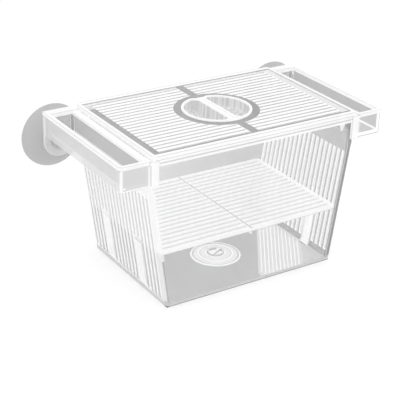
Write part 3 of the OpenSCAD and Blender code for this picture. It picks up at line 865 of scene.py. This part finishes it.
class BREEDBOX_OT_wings(bpy.types.Operator):
    """Give the two wings their clear plastic"""

    bl_idname = "breedbox.wings"
    bl_label = "Wings"

    def execute(self, context):
        settings = context.scene.breedbox_plastic
        white, tone, grey = settings.white, settings.tone, settings.grey
        outer_face = (99.0, 99.9)
        front_face = {"y": below(-49.0), "ny": FRONTWARD, "z": below(BEAD_LOW - 0.2)}
        front_edges, corner = below(-45.0), (0.35, 0.93)
        clips = {"ax": (70.0, 79.3), "ay": (49.1, 51.6)}
        zones = [
            # Trough in painted shade: its floor, inner wall, outer wall and back
            zone(tone(0.46), z=about(WING_FLOOR, 0.3), nz=UPWARD),
            zone(tone(0.48), ax=about(TROUGH_INNER, 0.3), ox=OUTWARD),
            zone(tone(0.46), ax=about(TROUGH_OUTER, 0.3), ox=INWARD),
            zone(grey(0.25), ax=(TROUGH_INNER, TROUGH_OUTER), y=(40.0, 48.0), ny=FRONTWARD),
            # Outer long face and front face below the bead in painted shade, except the front face
            # of the right-hand wing, which is left almost clear
            zone(tone(0.68, 0.7), ax=outer_face, ox=OUTWARD, z=below(BEAD_LOW - 0.2)),
            zone(tone(0.66, 0.85), x=LEFT_HALF, **front_face),
            zone(white(0.12), x=RIGHT_HALF, **front_face),
            # Edges round the front: painted highlights on the left-hand wing, painted shade on the
            # right-hand one
            zone(white(0.9), x=LEFT_HALF, y=front_edges, z=below(WING_UNDERSIDE + 0.8),
                 ny=below(-0.2)),
            zone(white(0.9), x=LEFT_HALF, y=front_edges, ox=corner),
            zone(tone(0.3, 0.9), x=RIGHT_HALF, y=front_edges, ox=corner, z=below(BEAD_LOW - 0.2)),
            zone(tone(0.3, 0.9), x=RIGHT_HALF, y=front_edges, z=below(WING_UNDERSIDE + 0.6),
                 ny=below(-0.2)),
            # Painted highlight along the foot of the outer wall inside the trough
            zone(white(0.95), ax=(TROUGH_OUTER - 1.2, TROUGH_OUTER + 0.2),
                 z=(WING_FLOOR - 0.2, WING_FLOOR + 0.9)),
            # Bead and clips in painted light, and a painted shade line under the bead
            zone(white(0.85), z=above(BEAD_LOW - 0.1)),
            zone(tone(0.5), z=(BEAD_LOW - 0.6, BEAD_LOW + 0.2), ax=above(outer_face[0])),
            zone(white(0.85), **clips),
        ]
        # The rest of the wings in faint painted light
        material = clear_material("wing plastic", settings, white(0.35, 0.3), zones)
        # Rounded edges: painted highlights, with painted shade lines along the bead and the clips
        edges = clear_material("wing edges", settings, white(0.9), [
            zone(tone(0.6, 0.9), z=above(BEAD_LOW - 0.7)),
            zone(tone(0.6, 0.9), **clips),
        ])
        finish_node("left_wing", material, edges, settings.edge_round)
        finish_node("right_wing", material, edges, settings.edge_round)
        return {"FINISHED"}


# ---------------------------------------------------------------- suction cups

def cup_profile(settings):
    """Radius and height of the points of half a section, from the head's middle to the dish's."""
    flare_steps, flare_power = 12, 1.7
    bowl_steps, bowl_power = 16, 0.62
    under = -CUP_PLATE - CUP_PLAY
    top = under - HEAD_THICKNESS
    rise = settings.height - settings.lip - settings.shoulder
    depth = settings.height - settings.shoulder - settings.wall
    # Button head with a rounded edge, then the neck
    points = [(0.0, top), (settings.head - HEAD_ROUND, top)]
    for turn in (math.radians(30), math.radians(60), math.radians(90)):
        points.append((settings.head - HEAD_ROUND * (1 - math.sin(turn)),
                       top + HEAD_ROUND * (1 - math.cos(turn))))
    points += [(settings.head, under), (settings.neck, under),
               (settings.neck, CUP_PLAY), (settings.root, CUP_PLAY)]
    # Back of the dish out to the rim, then the face of the dish back to the middle
    for step in range(flare_steps + 1):
        share = step / flare_steps
        points.append((settings.root + (settings.radius - settings.root) * share,
                       settings.shoulder + rise * share ** flare_power))
    points.append((settings.radius, settings.height))
    for step in range(bowl_steps, -1, -1):
        share = step / bowl_steps
        points.append(((settings.radius - settings.lip) * share,
                       settings.height - depth * (1 - share) ** bowl_power))
    return points


def cup_mesh(name, settings, axis):
    """The cup's section spun about the line through axis along Y."""
    shape = bmesh.new()
    verts = [shape.verts.new(axis + Vector((r, h, 0.0))) for r, h in cup_profile(settings)]
    edges = [shape.edges.new(pair) for pair in zip(verts, verts[1:])]
    bmesh.ops.spin(shape, geom=verts + edges, cent=axis, axis=(0.0, 1.0, 0.0),
                   angle=2 * math.pi, steps=settings.steps, use_merge=True)
    bmesh.ops.remove_doubles(shape, verts=shape.verts, dist=0.000005)
    bmesh.ops.recalc_face_normals(shape, faces=shape.faces)
    for face in shape.faces:
        face.smooth = True
    for edge in shape.edges:
        edge.smooth = edge.calc_face_angle(0.0) < SHARP
    mesh = bpy.data.meshes.new(name)
    shape.to_mesh(mesh)
    shape.free()
    return mesh


def soft_material(settings, centre):
    """Milky soft plastic with faint turning rings and a matt skin, thinner towards the rim."""
    ring_pitch, ring_depth = 0.8, 0.3
    matt, scratch_dulls, thin_clears = 0.42, 0.25, 0.06
    colour = settings.colour
    darker, lighter, thin_colour = [tuple(c * share for c in colour)
                                    for share in (0.97, 1.03, 1.12)]
    material = bpy.data.materials.new("soft plastic")
    material.use_nodes = True
    graph = Graph(material.node_tree)
    shader = material.node_tree.nodes["Principled BSDF"]
    coords = graph.node("ShaderNodeTexCoord").outputs
    place = graph.in_mm(coords["Object"])
    sideways = graph.math("SUBTRACT", graph.math("ABSOLUTE", place[0]), centre[0])
    radius = graph.length(sideways, graph.math("SUBTRACT", place[2], centre[1]))
    marks = use_group(graph, moulding_group(), Vector=coords["Object"], Scratches=0.4)
    rings = graph.math("SINE", graph.math("MULTIPLY", radius, 2 * math.pi / ring_pitch))
    thin = graph.ramp(radius, low=8.0, high=22.0)
    thick_colour = graph.mix(marks["Haze"], darker, lighter, "RGBA")
    graph.wire(graph.mix(thin, thick_colour, thin_colour, "RGBA"), shader.inputs["Base Color"])
    dull = graph.math("MULTIPLY", marks["Scratch"], scratch_dulls)
    graph.wire(graph.math("ADD", matt, dull), shader.inputs["Roughness"])
    clear = graph.math("MULTIPLY", thin, thin_clears)
    graph.wire(graph.math("SUBTRACT", settings.alpha, clear), shader.inputs["Alpha"])
    height = graph.math("ADD", marks["Height"], graph.math("MULTIPLY", rings, ring_depth))
    graph.wire(graph.bump(height, strength=0.12, distance=0.0003), shader.inputs["Normal"])
    return material


class BREEDBOX_OT_cups(bpy.types.Operator):
    """Turn the two soft suction cups"""

    bl_idname = "breedbox.cups"
    bl_label = "Suction cups"

    def execute(self, context):
        settings = context.scene.breedbox_cups
        plate_face = CUP_HIGH[1] * MM - settings.height
        material = soft_material(settings, CUP_AXIS)
        for side, body, node in ((-1, "cup_left", "left_suction_cup"),
                                 (1, "cup_right", "right_suction_cup")):
            axis = Vector((side * CUP_AXIS[0] * MM, plate_face, CUP_AXIS[1] * MM))
            mesh = cup_mesh(f"soft_{node}", settings, axis)
            mesh.materials.append(material)
            cup = bpy.data.objects.new(f"soft_{node}", mesh)
            context.scene.collection.objects.link(cup)
            round_sharp_edges(cup, CUP_EDGE_ROUND)
            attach(cup, body)
            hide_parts(node)
        return {"FINISHED"}


# ---------------------------------------------------------------- panel and registration

class BREEDBOX_PT_panel(bpy.types.Panel):
    """Lists what the add-on makes"""

    bl_idname = "BREEDBOX_PT_panel"
    bl_label = "Breeding Box"
    bl_space_type = "VIEW_3D"
    bl_region_type = "UI"
    bl_category = "Breeding Box"

    def draw(self, context):
        for operator in OPERATORS:
            self.layout.operator(operator.bl_idname)
        for name in SETTINGS:
            box = self.layout.box()
            group = getattr(context.scene, name)
            for key in group.bl_rna.properties.keys():
                if key not in ("rna_type", "name"):
                    box.prop(group, key)


OPERATORS = (BREEDBOX_OT_studio, BREEDBOX_OT_tank, BREEDBOX_OT_lid, BREEDBOX_OT_tray,
             BREEDBOX_OT_plug, BREEDBOX_OT_wings, BREEDBOX_OT_cups)
SETTINGS = {"breedbox_studio": StudioSettings, "breedbox_plastic": PlasticSettings,
            "breedbox_cups": CupSettings}
CLASSES = (*SETTINGS.values(), *OPERATORS, BREEDBOX_PT_panel)


def register():
    """Adds the settings, the operators and the panel to Blender."""
    for cls in CLASSES:
        bpy.utils.register_class(cls)
    for name, cls in SETTINGS.items():
        setattr(bpy.types.Scene, name, bpy.props.PointerProperty(type=cls))


def unregister():
    """Takes them out again."""
    for name in SETTINGS:
        delattr(bpy.types.Scene, name)
    for cls in reversed(CLASSES):
        bpy.utils.unregister_class(cls)


def main():
    """Runs every operator in order."""
    register()
    for operator in OPERATORS:
        group, name = operator.bl_idname.split(".")
        getattr(getattr(bpy.ops, group), name)()


if __name__ == "__main__":
    main()
